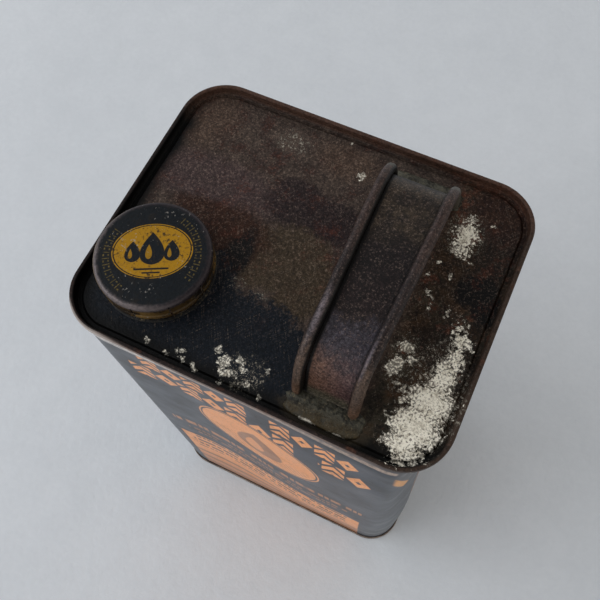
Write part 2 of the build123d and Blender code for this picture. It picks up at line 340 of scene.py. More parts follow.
def worn_top():
    """Rusted, stained top end, with spilt paint on it, painted shade along the countersink and beside the
    cap, and a painted reflection on the seam's outer face.
    """
    skin = Skin("rusted_tinplate", specular=0.14)
    x, y = skin.x, skin.y
    cloud = skin.noise(26, 4, 1)
    blotch = skin.noise(8, 5, 2)
    mottle = skin.noise(3.6, 5, 6, rough=0.65)
    speck = skin.noise(1.5, 4, 3, rough=0.65)
    grain = skin.noise(0.8, 3, 9, rough=0.8)
    dust = skin.noise(1.3, 4, 7, rough=0.85)
    scratch = skin.noise(4, 3, 4, (0.09, 2.4, 1), 32) + skin.noise(5, 3, 5, (0.07, 2.2, 1), -38)
    wander = cloud * 0.1 + blotch * 0.12 + mottle * 0.13 + speck * 0.13
    depth = inset(skin)

    def zone(low, high, *ovals):
        return (skin.near(*ovals) + wander).step(high, low)

    right = (x + blotch * 1.5).step(39, 45)
    colour = skin.mix(tone(78, 65, 57), tone(52, 41, 37), (blotch * 0.7 + mottle * 0.5).step(-0.6, 0.7))
    colour = skin.layers(
        colour,
        (tone(72, 57, 57), zone(0.6, 1.3, (-46, 15, 30, 11)) * 0.8),
        (tone(84, 60, 44), zone(0.4, 1.3, (-62, 42, 14, 16), (-2, 44, 14, 8)) * 0.35),
        (tone(34, 23, 26), zone(0.7, 1.25, (-2, 17, 23, 10), (-14, 24, 10, 6)) * 0.85),
        (tone(66, 54, 40), zone(0.8, 1.15, (-4, -4, 18, 15), (4, -12, 12, 12), (-14, -8, 8, 12))),
        (tone(50, 24, 9), zone(0.7, 1.3, (-31, -3, 16, 12), (-38, 3, 18, 5)) * 0.92),
        # Painted shadow of the cap on the panel, beside its right side
        (tone(5, 4, 4), zone(0.75, 1.25, (-23, -9, 5, 11), (-27, -28, 9, 16))),
        (skin.mix(tone(58, 40, 24), tone(50, 45, 35), blotch.step(-0.3, 0.5)), right),
        (tone(15, 10, 7), right * (mottle * 0.7 + dust * 0.4).step(-0.3, 0.5) * 0.85),
        (tone(98, 52, 32), right * (blotch + speck * 0.5 + y * 0.01).step(0.35, 1.1) * 0.6),
        (tone(12, 20, 29), zone(0.9, 1.1, (-8, -42, 27, 22), (-46, -46, 32, 22), (12, -48, 16, 17),
                                (-30, -26, 12, 16))),
        (tone(4, 4, 4), zone(0.7, 1.08, (62, 14, 9, 7, 38), (67, 8, 6, 8))),
        (tone(16, 10, 6), zone(0.7, 1.2, (60, -12, 14, 9), (64, 30, 8, 12)) * 0.7),
        (tone(46, 22, 16), zone(0.7, 1.3, (63, 46, 16, 12)) * 0.6),
        (tone(120, 62, 42), (dust * 0.7 + blotch * 0.5).step(0.1, 0.8) * 0.42 * y.step(-40, 10)),
        (tone(2, 2, 3), (grain * 0.8 + dust * 0.5).step(-0.5, 0.7) * 0.76),
        (tone(132, 118, 106), (scratch + grain * 0.5).step(0.7, 1.5) * 0.45),
        (tone(172, 150, 136), (0.1 * speck - grain).step(0.15, 0.95) * 0.32 * (y.step(-45, 0) * 0.8 + 0.2)))
    # Painted shade along the countersink, mixed with dirt in its groove, deepest on the left and in front
    countersink_shade_and_dirt = (x.step(-40, -64) * y.step(50, 28) + y.step(-38, -52) + 0.25).least(1)
    colour = skin.mix(colour, tone(2, 2, 2), (depth + blotch * 1.3).step(10.5, 4) * countersink_shade_and_dirt)
    # The double seam's rounded top and its worn outer face, painted pale as a reflection, brightest at the
    # front left and dark at the right
    seam = (depth + countersink_shade_and_dirt * 0.9).step(2.6, 1.6)
    left = x.step(-30, -56) * y.step(-44, -54)
    face = (depth - left * 0.5).step(0.45, 0.15) * (skin.z - left * 0.7).step(HEIGHT - 0.3, HEIGHT - 1.1)
    pale = skin.mix(tone(128, 108, 98), tone(196, 186, 180), left * (x + mottle * 5).step(-34, -62))
    pale = skin.mix(pale, tone(62, 50, 44), (x + speck * 5).step(28, 64))
    rim = skin.layers(
        skin.mix(skin.mix(tone(36, 26, 24), tone(60, 47, 39), x.step(40, 62)),
                 tone(76, 54, 44), y.step(36, 50)),
        (tone(96, 76, 66), (speck + mottle * 0.5).step(0.2, 1.2) * 0.55),
        (tone(92, 52, 34), (blotch + mottle * 0.4).step(0.3, 0.9) * 0.4),
        (tone(5, 4, 4), (grain * 0.7 + dust * 0.4).step(-0.3, 0.6) * 0.7),
        (pale, face * (0.85 + mottle * 0.15)))
    colour = skin.mix(colour, rim, seam)

    # Paint: two big spills, crumbs and drips, pitted with pinholes
    ragged = blotch * 0.5 + mottle * 1.5 + speck * 2.3 + grain * 0.9
    spill = skin.apart(
        (50.5, 33, 5.6, 8), (51, 27, 4, 3.4), (60.5, -1.8, 2.2, 2.6), (63, -6.5, 3.6, 4.8, 30),
        (64, -14, 3.4, 6.6), (62.5, -21, 5, 6.6), (61.5, -31, 8.2, 7), (59.5, -41, 9.8, 7.6),
        (58.5, -48.5, 7.6, 5), (58, -53, 4, 2.6))
    crumbs = skin.apart(
        (46.5, -16.5, 3.4, 2.6), (45.5, -24, 2.8, 3.6, -20), (50, -20, 1.8, 1.8), (48.5, -29.5, 1.8, 1.1),
        (46, 5.8, 2.2, 1.1, -35), (48, 0.6, 0.9, 1.2), (55, 1.2, 1, 2.4), (45.4, 18.4, 0.9, 0.8),
        (51, 15, 0.8, 1.4), (43.2, 12.6, 1, 0.9), (52.5, -34.5, 1.5, 1.8), (4.6, 40.6, 1.5, 2),
        (-4.5, 53, 0.8, 0.7), (51, -30.5, 1.8, 1.3), (56, 23, 0.9, 0.7), (58.3, 40.5, 1.3, 1.2))
    drips = skin.apart(
        (2.4, -51.3, 1.7, 1.1), (-8.5, -47.5, 2.8, 2.8), (-5.5, -50.5, 3.4, 1.6, 20), (-3.8, -45, 1.3, 1.7),
        (-22.3, -52.6, 1.2, 0.8), (-17.6, -53.6, 2, 1.1, -25), (-29.5, -53, 1.4, 0.9),
        (-24.2, -50.2, 1.6, 0.7, 20), (7.6, -53.6, 1.4, 0.9, -30), (6.9, -44.2, 0.9, 1.2),
        (-0.5, -47.5, 1.9, 1.2), (-7, -54.3, 0.9, 0.6), (-12.3, -45, 1.4, 1.9, 20), (-37, -51.6, 1, 1.1))
    white = (spill + ragged * 1.25 + y.step(20, 30)).step(-0.4, -1.0)
    white = white.most((crumbs + ragged * 0.5).step(-0.1, -0.6))
    white = white.most((drips + ragged * 0.45).step(0.0, -0.5) * 0.95)
    pits = (skin.noise(0.85, 2, 8) + grain * 0.3 + (spill + 5).least(5) * 0.13).step(0.32, 0.66)
    white = white * (1 - pits * 0.75)
    haze = skin.apart(
        (-26, 44, 8, 6), (-29, 47.5, 4, 3), (-17, -19, 4.4, 2.6), (-8, -20, 3, 2.4), (-1, -48, 9, 7),
        (61, -30, 12, 24), (47, -22, 6, 12), (50, 33, 8, 10))
    haze = (haze + ragged * 0.8).step(0.8, -2.0) * (grain * 0.7 + dust * 0.6).step(0.1, 0.6) * 0.85
    stain = skin.mix(tone(240, 234, 219), tone(180, 171, 153), (mottle * 0.5 + grain * 0.8).step(-0.3, 0.6))
    colour = skin.layers(colour, (tone(168, 160, 146), haze), (stain, white))
    # Solder flux dried round the handle's front foot
    flux = (skin.near((HANDLE_X + 1, SOLDER_LOW.y + 1.5, 16, 6)) + wander).step(1.15, 0.85) * (1 - white)
    colour = skin.mix(colour, tone(62, 54, 42), flux * (0.45 + mottle * 0.3) * (1 - seam))
    height = speck * 0.35 + scratch * 0.06 + mottle * 0.3 + grain * 0.18
    roughness = 0.5 + blotch * 0.08 + white * 0.35 + speck * 0.05
    return skin.finish(colour, roughness, 0.0, height, 0.15)


def uneven(walk, pitch, row=0.0):
    """Marks of mixed length and spacing along a line, different in each row."""
    wave = (walk * 0.37 + row * 2.3).calc("SINE") + (walk * 0.13 + row * 4.1).calc("SINE")
    return (walk / pitch + wave * 0.45 + row * 0.31).fraction().between(0.12, 0.84, 0.06)


def front_print(skin, level):
    """Mask of the label's peach ink: two rows of blocks, a medallion, lines of marks and a panel."""
    x = skin.x

    def blocks(low, tall, left, right, pitch, gap_at):
        """A row of alternating lozenges and chevrons, with one left out."""
        turn = (x - left) / pitch
        across = turn.fraction() - 0.5
        up = (level - (low + tall / 2)) / tall
        inside = abs(across) * 2.05 + abs(up) * 2
        lozenge = inside.step(1.04, 0.96) * inside.step(0.22, 0.3)
        chevron = ((up + abs(across) * 0.8) * 2.1).fraction().between(0.12, 0.74, 0.05)
        chevron = chevron * abs(across).step(0.46, 0.43)
        odd = (turn * 0.5).fraction().step(0.499, 0.501)
        shape = odd * lozenge + (1 - odd) * chevron
        row = x.between(left, right, 0.2) * level.between(low, low + tall, 0.25) * shape
        return row * (1 - x.between(gap_at - pitch / 2, gap_at + pitch / 2, 0.2))

    def dashes(low, high, left, right, pitch):
        """A line of short marks, standing for fine print."""
        return uneven(x, pitch) * x.between(left, right, 0.4) * level.between(low, high, 0.35)

    first = blocks(ROW_ONE, ROW_ONE_TALL, left=-42, right=48, pitch=9.0, gap_at=7.5)
    second = blocks(ROW_TWO, ROW_TWO_TALL, left=-50, right=54, pitch=10.4, gap_at=27)

    # Medallion: a disc and its ring, with an oil drop on rays
    sloped = skin.tree.nodes.new("ShaderNodeCombineXYZ")
    for socket, value in zip(sloped.inputs, (x, level, 0.0)):
        wire(skin.tree, socket, value)
    sloped = Value(skin.tree, sloped.outputs[0])
    ring = skin.oval(MEDAL_X, MEDAL_Z, MEDAL_HALF_X, MEDAL_HALF_Z, 0, sloped)
    medal = ring.step(0.955, 0.935).most(ring.between(0.975, 1.0, 0.008))
    off, up = x - MEDAL_X, level - MEDAL_Z
    figure = drop(off, up + 20, 42, 24) - drop(off + 2.5, up + 14, 24, 10) * 0.85
    rays = (off * 0.35 + up * 0.12).fraction().between(0.3, 0.6, 0.08)
    figure = figure.most(rays * ring.between(0.5, 0.88, 0.02) * up.step(-4, -8) * 0.6)

    # Three lines of marks, and a solid panel with lines of marks left open in its upper part
    fine = dashes(LINE_Z, LINE_Z + 7, left=-50, right=54, pitch=5.2)
    fine = fine.most(dashes(LINE_Z - 12, LINE_Z - 8, left=-44, right=46, pitch=4.1) * 0.7)
    fine = fine.most(dashes(LINE_Z - 19, LINE_Z - 15.5, left=-40, right=42, pitch=3.7) * 0.7)
    panel = x.between(-53, 53, 0.3) * level.between(PANEL_LOW, PANEL_HIGH, 0.25)
    rules = (level * PANEL_RULES).fraction().between(0.25, 0.75, 0.1) * x.between(-48, 47, 0.3)
    rules = rules * level.between(PANEL_HIGH - 34, PANEL_HIGH - 2, 0.25)
    rules = rules * uneven(x, 5.5, (level * PANEL_RULES).calc("FLOOR"))
    inked = first.most(second * ring.step(1.02, 1.06)).most(medal * (1 - figure * 0.6))
    return inked.most(fine * 0.5).most(panel * (1 - rules * 0.85))


def other_print(skin):
    """Mask of the ink on the side and rear walls: a framed block of rows of marks."""
    x, y, z = skin.x, skin.y, skin.z
    side = abs(x).calc("GREATER_THAN", LENGTH / 2 - 11.5)
    walk = side * y + (1 - side) * x
    reach = side * (WIDTH / 2 - SIDE_MARGIN) + (1 - side) * (LENGTH / 2 - REAR_MARGIN)
    spare = reach - abs(walk)
    rows = (z * ROWS_PER_MM).fraction().between(0.3, 0.66, 0.05) * z.between(ROWS_LOW, ROWS_HIGH, 1)
    rows = rows * uneven(walk, 6.3, (z * ROWS_PER_MM).calc("FLOOR")) * spare.step(0, 0.6)
    uprights = (spare + 5).between(0, FRAME_LINE, 0.2) * z.between(FRAME_LOW, FRAME_HIGH, 0.3)
    levels = z.between(FRAME_LOW, FRAME_LOW + FRAME_LINE, 0.2)
    levels = levels + z.between(FRAME_HIGH - FRAME_LINE, FRAME_HIGH, 0.2)
    return (rows * 0.7).most(uprights).most(levels * (spare + 6).step(0, 0.5))


def litho():
    """Printed body: navy ground, peach lines, blocks and medallion, worn and rust-freckled, with painted
    highlight and shade under the seam.
    """
    skin = Skin("litho_tinplate", specular=0.5)
    x, y, z = skin.x, skin.y, skin.z
    level = z + x * math.tan(math.radians(PRINT_SLOPE))
    blotch, speck = skin.noise(14, 4, 11), skin.noise(1.6, 3, 12)
    navy = skin.mix(tone(24, 35, 50), tone(17, 23, 31), (blotch + speck * 0.4).step(-0.5, 0.7))
    front = y.step(-WIDTH / 2 + 6, -WIDTH / 2 + 5)
    inked = (front_print(skin, level) * front).most(other_print(skin) * (1 - front))

    # Amber chip under the rim where the front right corner is pushed in
    turned = y + WIDTH / 2
    drooped = z + turned * 4
    corner = x.step(LENGTH / 2 - 13, LENGTH / 2 - 11.5) * turned.step(12, 10.5)
    chip = corner * drooped.between(229, 241, 1) * z.step(209, 214)

    # Ink browned towards the foot and in three bands
    stripes = level.between(44, 50, 1.5).most(level.between(26, 33, 1.5)).most(level.between(8, 17, 1.5))
    browned = (blotch.step(0.2, 1.0) * 0.35).most(level.step(76, 0) * 0.6).most(stripes * 0.8)
    ink = skin.mix(tone(244, 160, 92), tone(112, 76, 58), browned)
    ink = skin.mix(ink, tone(222, 150, 52), chip)
    scuff = (speck + blotch * 0.3).step(0.5, 1.0) * skin.noise(9, 4, 18).step(0.0, 0.9)
    colour = skin.mix(navy, ink, inked.most(chip) * (1 - scuff * 0.5) * 0.97)

    # Bare band and pale printed line under the seam, with painted highlight on the line that widens and
    # brightens it at the front left
    front_left_highlight = x.step(0, -50) * y.step(-44, -54)
    border = z.between(BORDER_LOW - front_left_highlight * 2.4, BORDER_HIGH, 0.3)
    bare = skin.mix(tone(112, 98, 92), tone(40, 36, 35), (x + speck * 2).step(46, 62))
    pale = skin.mix(tone(186, 162, 144), tone(236, 226, 218), front_left_highlight)
    ends = z.step(22, 4) + z.step(HEIGHT - 12, HEIGHT - 3)
    rust = (skin.noise(3.2, 5, 19) + blotch * 0.5 + ends * 0.45).step(1.0, 1.5)
    dust = skin.noise(0.9, 3, 20, rough=0.8)
    colour = skin.layers(
        colour,
        (bare, z.step(BORDER_HIGH - 0.3, BORDER_HIGH + 0.5) * (0.7 + speck * 0.3)),
        (pale, border * (1 - corner) * (0.62 + speck * 0.4)),
        # Painted shade under the seam's overhang, above the amber chip at the dented corner
        (tone(38, 32, 30), corner * drooped.step(241, 243) * 0.8),
        (tone(66, 40, 28), rust * 0.85),
        (tone(120, 112, 100), scuff * 0.35),
        (tone(8, 11, 16), (speck * 0.6 + dust).step(0.0, 0.8) * 0.3))
    roughness = 0.34 + blotch * 0.05 + rust * 0.35 + scuff * 0.15
    return skin.finish(colour, roughness, 0.0, speck * 0.1 + blotch * 0.5, 0.08)


def cap_print():
    """Cap: blue-black lacquer with an amber oval of oil drops, worn to metal at its shoulder, with a
    painted highlight on the shoulder and painted shade on the skirt.
    """
    skin = Skin("cap_tinplate", specular=0.2)
    x, y, z = skin.x - CAP_X, skin.y - CAP_Y, skin.z
    radius = (x * x + y * y).root()
    angle = calculate(skin.tree, "ShaderNodeMath", "ARCTAN2", y, x) * (180 / math.pi)
    blotch, speck, grain = skin.noise(7, 4, 21), skin.noise(1.1, 4, 22), skin.noise(0.4, 2, 26)

    # Amber oval with three oil drops over two ground lines
    middle, lean = (CAP_X - 0.6, CAP_Y + 1.1), 26.6
    ring = skin.oval(*middle, 14.6, 10.8, lean)
    amber = ring.step(0.945, 0.925).most(ring.between(0.965, 0.995, 0.008))
    across, up = skin.along(middle, lean), skin.along(middle, lean + 90)
    figure = drop(across, up + 5.4, 13.0, 9.4) - drop(across + 1.2, up + 3.2, 6, 2.6) * 0.8
    for aside in (-7.0, 7.0):
        small = drop(across + aside, up + 4.2, 8.4, 6.0)
        figure = figure.most(small - drop(across + aside + 0.8, up + 2.8, 4, 1.6) * 0.8)
    ground = (up + 7.4).between(0, 0.7, 0.12) * abs(across).step(6.4, 6.0)
    ground = ground.most((up + 8.8).between(0, 0.6, 0.12) * abs(across).step(3.4, 3.0))
    figure = (figure.most(ground) - (speck + grain * 0.5).step(0.7, 1.2) * 0.7).most(0)

    # Ticks round the oval
    turn = (angle / 8.4).fraction()
    marks = turn.between(0.14, 0.26, 0.04) * radius.between(15.2, 17.7, 0.15)
    ends = radius.between(15.3, 15.8, 0.12) + radius.between(17.1, 17.6, 0.12)
    marks = marks.most(turn.between(0.5, 0.8, 0.05) * ends)
    arc = angle.between(-14, 80, 1).most(angle.step(167, 169)).most(angle.step(-100, -102))
    marks = marks * arc * (speck + grain * 0.4).step(-0.9, 0.2)
    top = z.step(CAP_TOP - 1.2, CAP_TOP - 0.7)
    colour = skin.mix(tone(9, 15, 21), tone(22, 19, 18), (blotch + speck * 0.5).step(-0.1, 0.6))
    stained = (grain * 0.5 + speck * 0.6 + blotch * 0.4).step(0.0, 0.8) * 0.6
    colour = skin.layers(
        colour,
        (skin.mix(tone(156, 114, 12), tone(78, 56, 26), stained), amber * (1 - figure) * top),
        (tone(14, 13, 13), amber * top * (blotch * 0.5 + speck * 0.8).step(0.35, 0.7) * 0.75),
        (tone(122, 104, 52), marks * (0.75 + blotch * 0.2) * top),
        (tone(3, 4, 5), (1 - amber) * (grain * 0.7 + speck * 0.5).step(-0.3, 0.5) * 0.6 * top))

    # Shoulder worn to metal with a painted highlight towards the front left, and the skirt's varnish, its
    # slits painted black as shade, painted shade on its right side, and darkening towards its foot
    lit_side = (x * -0.6 - y * 0.8) / CAP_RADIUS
    worn = (radius + blotch * 0.4 + speck * 0.3).step(18.9, 20.7)
    worn = worn * top.most(z.step(CAP_TOP - 3.2, CAP_TOP - 1.6))
    flecks = (skin.noise(1.0, 3, 23) + skin.noise(9, 2, 24) * 0.5).step(0.75, 1.1)
    gold = skin.mix(tone(104, 80, 40), tone(34, 25, 14), (blotch + speck * 0.8).step(-0.3, 0.45))
    skirt = (z + x * 0.05).step(CAP_TOP - 1.0, CAP_TOP - 1.6)
    slits = ((angle - SLIT_TURN) / SLIT_PITCH + 0.5).fraction().between(0.482, 0.518, 0.01)
    slits = slits * z.step(CAP_TOP - 0.8, CAP_TOP - 1.1)
    # Painted highlight: the worn shoulder is lighter on the side facing the front left
    shoulder = skin.mix(tone(56, 49, 52), tone(116, 106, 106), lit_side.step(-0.2, 0.9))
    # Dark patches, more of them towards the skirt's foot
    skirt_darkening = (skin.noise(2.0, 4, 25) + z.step(CAP_TOP - 4, CAP_TOP - 8) * 0.6).step(0.8, 1.3)
    colour = skin.layers(
        colour,
        (gold, skirt * 0.9),
        (shoulder, worn * (0.66 + speck * 0.2) * (1 - skirt * 0.7)),
        (tone(158, 153, 146), flecks * 0.55),
        (tone(12, 9, 8), skirt_darkening * 0.85),
        # Painted shade on the skirt's right side, away from the light
        (tone(5, 4, 4), (x * 0.9 - y * 0.4).step(13, 21) * skirt * 0.7),
        # Slits painted black as the shade in their gaps
        (tone(2, 2, 2), slits * 0.95))
    roughness = 0.42 + blotch * 0.06 + speck * 0.05 - worn * 0.08
    height = speck * 0.3 + blotch * 0.3 + grain * 0.1 - figure * top * 0.2
    return skin.finish(colour, roughness, worn * 0.35, height, 0.07)


def strap_metal():
    """Handle: brown rust behind, dark purple in the middle, a painted bluish sheen on its front bend, rusty
    red at its front foot.
    """
    skin = Skin("handle_tinplate", specular=0.25)
    x, y, z = skin.x, skin.y, skin.z
    blotch, mottle = skin.noise(6, 5, 31), skin.noise(2.2, 5, 37, rough=0.65)
    speck, grain = skin.noise(1.0, 4, 32, rough=0.65), skin.noise(0.8, 3, 38, rough=0.8)
    scratch = skin.noise(4, 3, 33, (0.12, 2.0, 1), 18)
    way = y + blotch * 2 + mottle * 1.5 + skin.noise(16, 2, 34) * 3
    colour = skin.mix(tone(60, 49, 38), tone(40, 31, 25), (blotch + mottle * 0.4).step(-0.4, 0.6))
    colour = skin.layers(
        colour,
        (tone(25, 17, 18), way.step(15, 5)),
        (tone(36, 25, 25), way.step(0, -12) * 0.7),
        # Painted sheen of the sky on the front bend: a bluish cast and a grained pale highlight
        (tone(52, 48, 58), way.step(-20, -27) * 0.8),
        (tone(112, 106, 114), way.between(-34, -22, 4) * (grain * 0.7 - speck * 0.5).step(-0.1, 0.5) * 0.8),
        (skin.mix(tone(104, 74, 60), tone(78, 56, 56), (x - HANDLE_X).step(-8, 8)), way.step(-31, -41)),
        (tone(76, 71, 58), (z + mottle).step(PANEL + 8, PANEL + 3) * way.step(-20, -30)))

    # The beads' own colours with painted highlights on their flanks, and painted shade in the dark grooves
    # beside them and at the rear bend
    off = x - HANDLE_X
    middle = BEAD_FRONT + (BEAD_REAR - BEAD_FRONT) * y.step(HANDLE_Y + TAPER_FRONT, HANDLE_Y + TAPER_REAR)
    outside = abs(off) - middle
    beads = outside.step(-2.1, -1.5)
    edge = skin.layers(
        tone(62, 47, 43),
        (tone(34, 26, 27), way.step(8, -6) * 0.8),
        # Painted highlights on the left bead's outer flank and the right bead's inner flank
        (tone(150, 138, 144),
         way.between(-35, -20, 7) * outside.between(-0.6, 1.0, 0.8) * off.step(4, -4) * 0.6),
        (tone(120, 110, 118),
         way.between(-42, -28, 5) * outside.between(-1.6, -0.6, 0.5) * off.step(-4, 4) * 0.55),
        (tone(88, 70, 58), way.step(-34, -41) * 0.85),
        (tone(112, 82, 62), z.step(PANEL + 14, PANEL + 5) * way.step(-30, -36) * (0.6 + mottle * 0.5)),
        (tone(110, 92, 82), (speck + grain * 0.3).step(0.5, 1.2) * 0.5))
    # Painted shade in the grooves between the beads and the web, and in the hollow at the rear bend
    crease_shade = outside.between(-2.6, -1.6, 0.4) * 0.6
    crease_shade = crease_shade.most(outside.between(-3.0, -1.2, 0.4) * off.step(2, -2) * 0.97)
    rear_bend_shade = y.between(HANDLE_Y + 36.6, HANDLE_Y + 37.8, 0.5) * (1 - beads)
    colour = skin.layers(
        colour, (edge, beads),
        (tone(104, 94, 86), scratch.step(0.5, 1.3) * 0.3),
        (tone(64, 34, 20), (skin.noise(3.4, 5, 35) + blotch * 0.3).step(0.7, 1.2) * 0.6),
        (tone(5, 4, 4), (grain * 0.8 + mottle * 0.4).step(-0.4, 0.6) * 0.75),
        (tone(136, 118, 108), (speck * 0.2 - grain).step(0.15, 0.8) * 0.42),
        (tone(74, 72, 64), (y + mottle).step(HANDLE_Y + 37.4, HANDLE_Y + 38.2) * 0.75),
        (tone(5, 4, 4), crease_shade.most(rear_bend_shade * 0.8)))
    roughness = 0.46 + blotch * 0.08 + speck * 0.06 - way.between(-38, -22, 5) * 0.08
    height = speck * 0.4 + scratch * 0.1 + mottle * 0.5 + grain * 0.15
    return skin.finish(colour, roughness, 0.15, height, 0.12)


def solder_skin(name, pale=tone(78, 76, 66), dull=tone(38, 36, 30)):
    """Dull lead-tin solder: grey-green, ochre towards the front, pitted."""
    skin = Skin(name, specular=0.25)
    blotch, speck = skin.noise(4, 5, 41), skin.noise(1.2, 4, 42, rough=0.7)
    grain = skin.noise(0.8, 3, 43, rough=0.8)
    ochre = (skin.y + blotch * 1.5).step(SOLDER_LOW.y + 4.5, SOLDER_LOW.y + 0.5)
    colour = skin.mix(pale, dull, (blotch + speck * 0.5).step(-0.5, 0.6))
    drips = skin.apart((26, -54.4, 2.6, 0.8), (37, -54.9, 3.2, 0.8))
    white = (drips + speck * 0.4 + grain * 0.3).step(0.2, -0.3)
    colour = skin.layers(
        colour,
        (skin.mix(dull, tone(84, 68, 40), (blotch * 0.5 + speck).step(-0.8, 0.8)), ochre * 0.85),
        (tone(12, 10, 8), (speck * 0.6 + grain * 0.6).step(-0.1, 0.6) * 0.7),
        (tone(122, 108, 82), (grain * 0.8 - speck * 0.6).step(0.2, 0.7) * 0.45),
        (tone(215, 208, 194), white))
    return skin.finish(colour, 0.5 + blotch * 0.08, 0.1, speck * 0.5 + blotch * 0.6 + grain * 0.2, 0.16)


def plain_metal(name, bright, dull, roughness, metallic, size=5.0):
    """Bare or stained metal with clouds, freckles and fine pitting."""
    skin = Skin(name, specular=0.4)
    blotch, speck = skin.noise(size, 5, 51), skin.noise(0.9, 3, 52)
    colour = skin.mix(bright, dull, (blotch + speck * 0.35).step(-0.5, 0.7))
    return skin.finish(colour, roughness + blotch * 0.07, metallic, speck * 0.3 + blotch * 0.3, 0.06)


def worn_bottom():
    """Bottom end: printed tin gone grey-brown, rusting where it touches the floor, with a painted contact
    shade along its foot.
    """
    skin = Skin("bottom_tinplate", specular=0.4)
    blotch, speck = skin.noise(9, 5, 55), skin.noise(1.4, 4, 56)
    colour = skin.mix(tone(128, 114, 104), tone(84, 72, 65), (blotch + speck * 0.5).step(-0.6, 0.6))
    rust = (skin.noise(4, 5, 57) + skin.z.step(3.5, 0) * 0.5).step(0.4, 1.1)
    # Painted contact shade along the foot, where it meets the floor
    contact_shade = skin.z.step(0.9, 0)
    colour = skin.layers(colour, (tone(82, 52, 36), rust * 0.65), (tone(30, 22, 18), contact_shade * 0.35))
    return skin.finish(colour, 0.48 + rust * 0.3, 0.1, speck * 0.3 + rust * 0.4, 0.08)


def cork_skin():
    """Pressed cork: tan crumbs with dark gaps."""
    skin = Skin("cork", specular=0.2)
    node = skin.tree.nodes.new("ShaderNodeTexVoronoi")
    wire(skin.tree, node.inputs["Vector"], skin.stretched([1 / 1.5] * 3))
    node.inputs["Scale"].default_value = 1
    crumb = Value(skin.tree, node.outputs["Distance"])
    speck = skin.noise(0.7, 4, 61)
    colour = skin.mix(tone(176, 130, 84), tone(96, 62, 36), (crumb + speck * 0.2).step(0.35, 0.85))
    colour = skin.mix(colour, tone(48, 30, 18), speck.step(0.6, 1.1) * 0.7)
    return skin.finish(colour, 0.85, 0.0, speck * 0.4 - crumb, 0.12)


def floor_skin():
    """Pale painted floor with faint clouds and a worn, slightly pitted coat."""
    skin = Skin("floor_paint", specular=0.3)
    cloud, rub, grain = skin.noise(190, 5, 71), skin.noise(22, 5, 73, rough=0.6), skin.noise(4, 4, 72)
    colour = skin.mix(FLOOR_PALE, FLOOR_DULL, (cloud * 0.5 + rub * 0.35 + grain * 0.25).step(-1.1, 1.1))
    spots = (skin.noise(9, 4, 74) + grain * 0.3).step(1.0, 1.5)
    colour = skin.mix(colour, tone(150, 152, 152), spots * 0.35)
    return skin.finish(colour, 0.72, 0.0, grain * 0.6 + rub, 0.12)


# ---------------------------------------------------------------- meshes

def smooth_step(value, low, high):
    t = min(max((value - low) / (high - low), 0), 1)
    return t * t * (3 - 2 * t)


def make_piece(name, points, faces, material, body, slot, *nodes):
    """A finished mesh from points in millimetres, standing for CAD nodes and riding on their body."""
    mesh = bpy.data.meshes.new(name)
    mesh.from_pydata([tuple(c / METRE for c in p) for p in points], [], faces)
    mesh.validate()
    for face in mesh.polygons:
        face.use_smooth = True
    piece = bpy.data.objects.new(name, mesh)
    bpy.context.collection.objects.link(piece)
    mesh.materials.append(material)
    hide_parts(*nodes)
    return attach(piece, body)


def grid_faces(rows, columns, closed_rows, closed_columns, start=0):
    """Quads over a grid of points stored row by row, whose normals face right-handedly out."""
    faces = []
    for r in range(rows if closed_rows else rows - 1):
        for c in range(columns if closed_columns else columns - 1):
            r2, c2 = (r + 1) % rows, (c + 1) % columns
            corners = (r * columns + c, r * columns + c2, r2 * columns + c2, r2 * columns + c)
            faces.append(tuple(start + i for i in corners))
    return faces


def outline(depth, spacing=2.6, corner_steps=14):
    """Points and outward directions round the can's plan, anticlockwise from above."""
    radius = CORNER_RADIUS - depth
    half_x, half_y = LENGTH / 2 - CORNER_RADIUS, WIDTH / 2 - CORNER_RADIUS
    found = []
    centres = ((half_x, half_y), (-half_x, half_y), (-half_x, -half_y), (half_x, -half_y))
    for quarter, (cx, cy) in enumerate(centres):
        for step in range(corner_steps + 1):
            a = math.radians(90 * (quarter + step / corner_steps))
            out = Vector((math.cos(a), math.sin(a), 0))
            found.append((Vector((cx, cy, 0)) + out * radius, out))
        run = 2 * (half_x if quarter % 2 == 0 else half_y)
        along = Vector((-out.y, out.x, 0))
        count = round(run / spacing)
        found += [(found[-1][0] + along * run * i / count, out) for i in range(1, count)]
    return found


def swelling(point, out):
    """How the body wall stands off flat, where the can has been squeezed and swollen."""
    below = HEIGHT - point.z
    upright = smooth_step(point.z, 9, 70) * smooth_step(below, 9, 52)
    # The left wall stays flat, and the rear one has a shallow wave
    if out.x < -0.999:
        return Vector()
    if out.y > 0.999:
        edge = smooth_step(LENGTH / 2 - CORNER_RADIUS - abs(point.x), 0, 22)
        return out * upright * edge * 0.9 * math.sin(point.x / 31 + 0.6)
    # Front: dented on its left and swollen on its right, up to a shelf under the seam
    right = smooth_step(point.x, -34, 34)
    shelf = FRONT_SHELF * smooth_step(point.x, -6, 54)
    ahead = upright * (FRONT_DENT * (1 - right) + right * (FRONT_BULGE - shelf))
    ahead += shelf * smooth_step(below, 3.4, 13) * smooth_step(point.z, 9, 90)
    ahead *= smooth_step(LENGTH / 2 - CORNER_RADIUS + point.x, 0, 22) * smooth_step(-out.y, 0.1, 0.95)
    # Right wall: pushed in, deepest at the front corner
    near_front = smooth_step(-point.y, -WIDTH / 2 + 12, WIDTH / 2 - 24)
    inward = smooth_step(out.x, 0.2, 0.98) * smooth_step(below, 3.4, 12) * smooth_step(point.z, 60, 225)
    return Vector((-inward * (0.6 + (CORNER_DENT - 0.6) * near_front), -ahead, 0))


